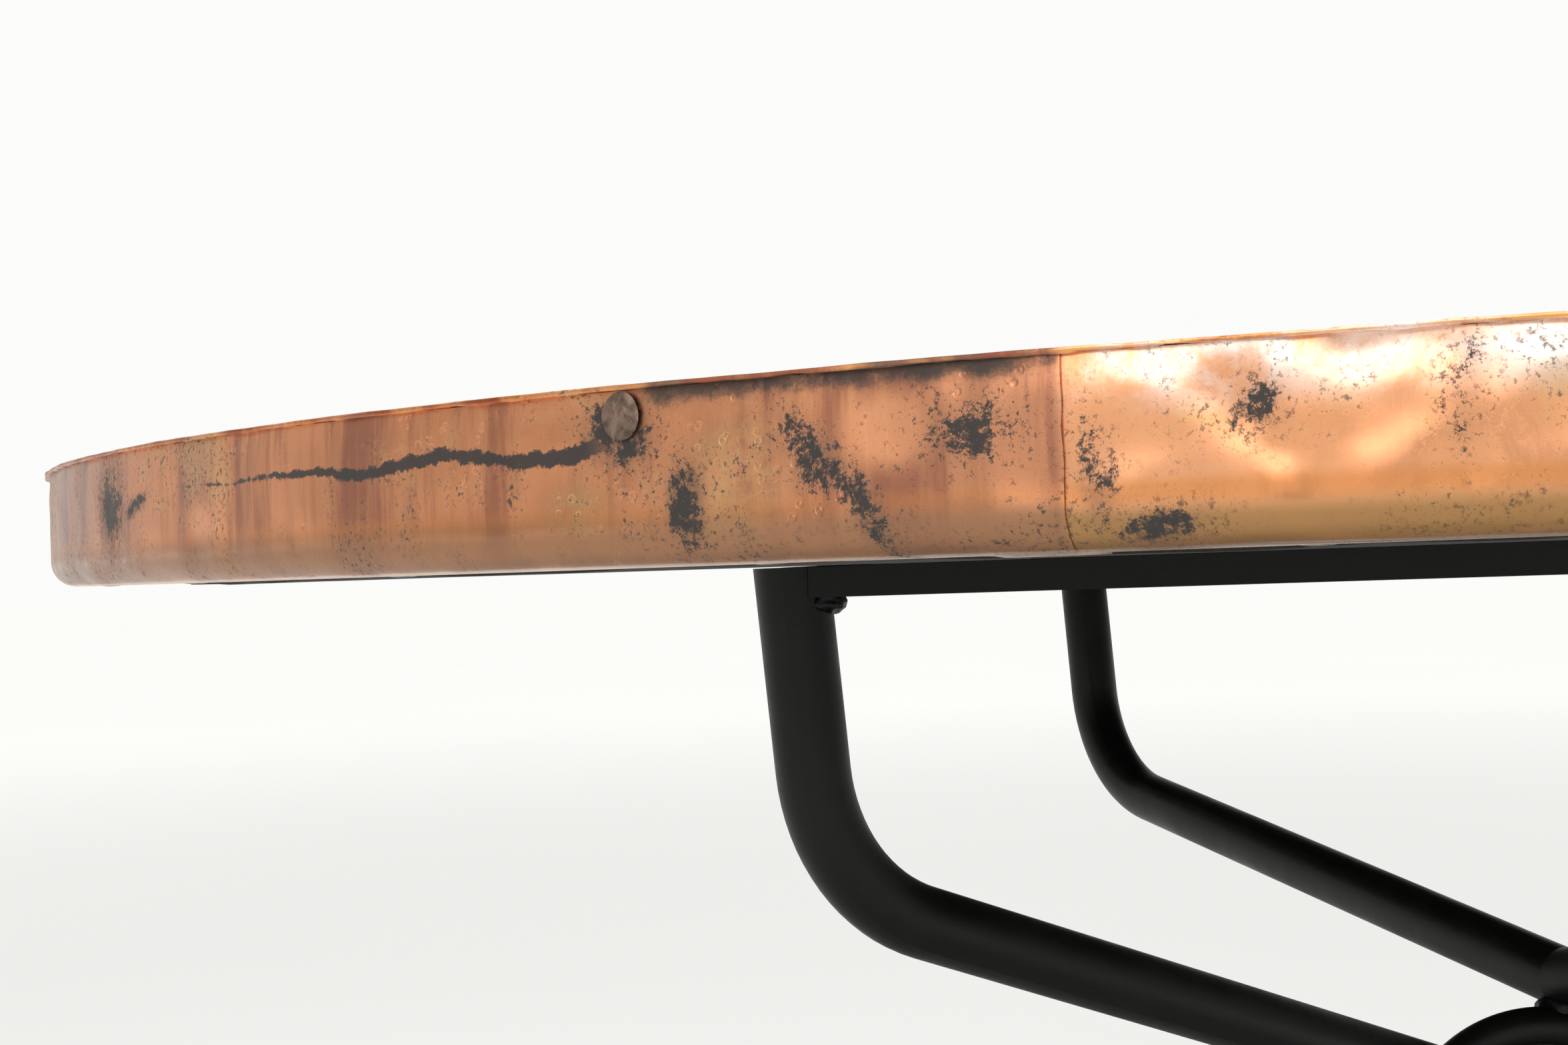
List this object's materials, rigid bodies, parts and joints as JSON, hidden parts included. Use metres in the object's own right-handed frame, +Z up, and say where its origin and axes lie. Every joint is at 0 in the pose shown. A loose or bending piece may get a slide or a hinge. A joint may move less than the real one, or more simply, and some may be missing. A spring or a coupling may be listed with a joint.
{
  "type": "round coffee table",
  "caption": "Round copper-clad drum-edged tabletop on a welded black steel pipe base with bent legs crossing at an upright ring.",
  "frame": {"origin": "centre of the underside, on the floor below the tabletop's axis", "axes": "+Z up, +X to the right along the front frame bar, -Y towards the front"},
  "size_m": [1.0083, 1.0084, 0.468],
  "materials": {
    "copper": "hand-hammered copper sheet, patinated",
    "iron_nail": "copper-headed nail, tarnished",
    "brass_tack": "dull brass upholstery tack",
    "plywood": "raw birch plywood",
    "liner_board": "black-stained hardboard",
    "black_steel": "satin black paint on steel",
    "weld_metal": "satin black paint on weld beads",
    "zinc_screw": "zinc-plated screw",
    "felt_pad": "black rubber washer",
    "black_plastic": "moulded black nylon"
  },
  "bodies": {
    "root": {"top_board": "plywood", "copper_top_sheet": "copper", "copper_rim_band_1": "copper", "copper_rim_band_2": "copper", "copper_rim_band_3": "copper", "copper_rim_band_4": "copper", "rim_bosses": "iron_nail", "rim_tacks": "brass_tack", "underside_liner": "liner_board", "frame_bar_front": "black_steel", "frame_bar_back": "black_steel", "frame_bar_left": "black_steel", "frame_bar_right": "black_steel", "upper_leg_front_left": "black_steel", "upper_leg_back_left": "black_steel", "upper_leg_back_right": "black_steel", "upper_leg_front_right": "black_steel", "lower_leg_front_left": "black_steel", "lower_leg_back_left": "black_steel", "lower_leg_back_right": "black_steel", "lower_leg_front_right": "black_steel", "centre_ring": "black_steel", "corner_welds": "weld_metal", "hub_welds": "weld_metal", "frame_screws": "zinc_screw", "frame_pads": "felt_pad", "foot_glide_front_left": "black_plastic", "foot_glide_back_left": "black_plastic", "foot_glide_back_right": "black_plastic", "foot_glide_front_right": "black_plastic"}
  },
  "joints": []
}
